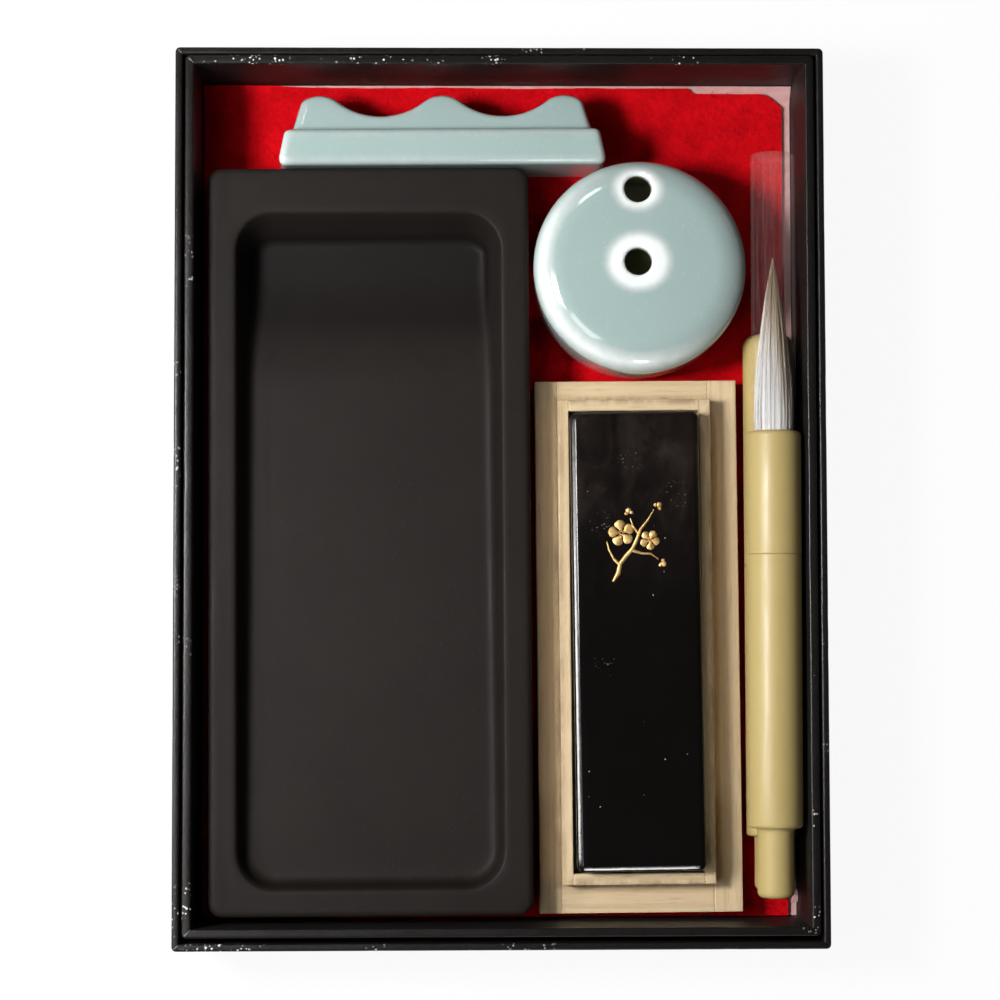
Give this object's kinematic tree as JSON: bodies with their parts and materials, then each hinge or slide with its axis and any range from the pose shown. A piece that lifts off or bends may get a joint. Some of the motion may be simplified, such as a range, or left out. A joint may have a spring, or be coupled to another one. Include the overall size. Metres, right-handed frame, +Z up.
{
  "type": "calligraphy set box",
  "caption": "Shallow paper-covered tray in its upturned lid, with inkstone, water dropper, brush rest, cased ink stick and capped brushes on red felt.",
  "frame": {"origin": "centre of the lid's underside, on the table", "axes": "+Z up, +Y along the box towards the brush rest, +X towards the brushes"},
  "size_m": [0.142, 0.1964, 0.0294],
  "materials": {
    "covered_board": "embossed semi-gloss black covering paper on greyboard",
    "white_card": "matt white card",
    "red_felt": "napped red felt",
    "inkstone": "honed matt charcoal stone",
    "celadon": "glossy celadon glaze over white porcelain",
    "paulownia": "plain planed paulownia",
    "ink_cake": "polished black ink cake",
    "khaki_plastic": "satin pale khaki plastic",
    "clear_plastic": "clear glossy plastic",
    "brush_hair": "soft white and tan animal hair"
  },
  "bodies": {
    "lid": {"lid_floor": "covered_board", "lid_side_left": "covered_board", "lid_side_right": "covered_board", "lid_end_front": "covered_board", "lid_end_back": "covered_board"},
    "tray": {"tray_floor": "covered_board", "tray_side_left": "covered_board", "tray_side_right": "covered_board", "tray_end_front": "covered_board", "tray_end_back": "covered_board", "felt_backing": "white_card", "red_felt": "red_felt"},
    "inkstone": {"inkstone": "inkstone"},
    "dropper": {"water_dropper": "celadon"},
    "rest": {"brush_rest": "celadon"},
    "case": {"case_floor": "paulownia", "case_side_left": "paulownia", "case_side_right": "paulownia", "case_end_front": "paulownia", "case_end_back": "paulownia", "case_lip_left": "paulownia", "case_lip_right": "paulownia", "case_lip_front": "paulownia", "case_lip_back": "paulownia"},
    "stick": {"ink_stick": "ink_cake"},
    "spare_brush": {"spare_tail": "khaki_plastic", "spare_handle": "khaki_plastic", "spare_collar": "khaki_plastic", "spare_tuft": "brush_hair"},
    "spare_brush_cap": {"spare_cap": "khaki_plastic"},
    "brush": {"brush_tail": "khaki_plastic", "brush_rear_barrel": "khaki_plastic", "brush_front_barrel": "khaki_plastic", "brush_tuft": "brush_hair"},
    "clear_cap": {"brush_cap": "clear_plastic"}
  },
  "joints": [
    {"name": "tray_lift", "type": "slide", "parent": "lid", "child": "tray", "axis": [0, 0, 1], "range_m": [0, 0.06]},
    {"name": "inkstone_lift", "type": "slide", "parent": "tray", "child": "inkstone", "axis": [0, 0, 1], "range_m": [0, 0.05]},
    {"name": "dropper_lift", "type": "slide", "parent": "tray", "child": "dropper", "axis": [0, 0, 1], "range_m": [0, 0.05]},
    {"name": "rest_lift", "type": "slide", "parent": "tray", "child": "rest", "axis": [0, 0, 1], "range_m": [0, 0.05]},
    {"name": "case_lift", "type": "slide", "parent": "tray", "child": "case", "axis": [0, 0, 1], "range_m": [0, 0.05]},
    {"name": "stick_lift", "type": "slide", "parent": "case", "child": "stick", "axis": [0, 0, 1], "range_m": [0, 0.03]},
    {"name": "spare_brush_lift", "type": "slide", "parent": "tray", "child": "spare_brush", "axis": [0, 0, 1], "range_m": [0, 0.05]},
    {"name": "spare_cap_pull", "type": "slide", "parent": "spare_brush", "child": "spare_brush_cap", "axis": [0, 1, 0], "range_m": [0, 0.045]},
    {"name": "brush_lift", "type": "slide", "parent": "spare_brush", "child": "brush", "axis": [0, 0, 1], "range_m": [0, 0.04]},
    {"name": "clear_cap_pull", "type": "slide", "parent": "brush", "child": "clear_cap", "axis": [0.0035, 1, 0], "range_m": [0, 0.018]}
  ]
}
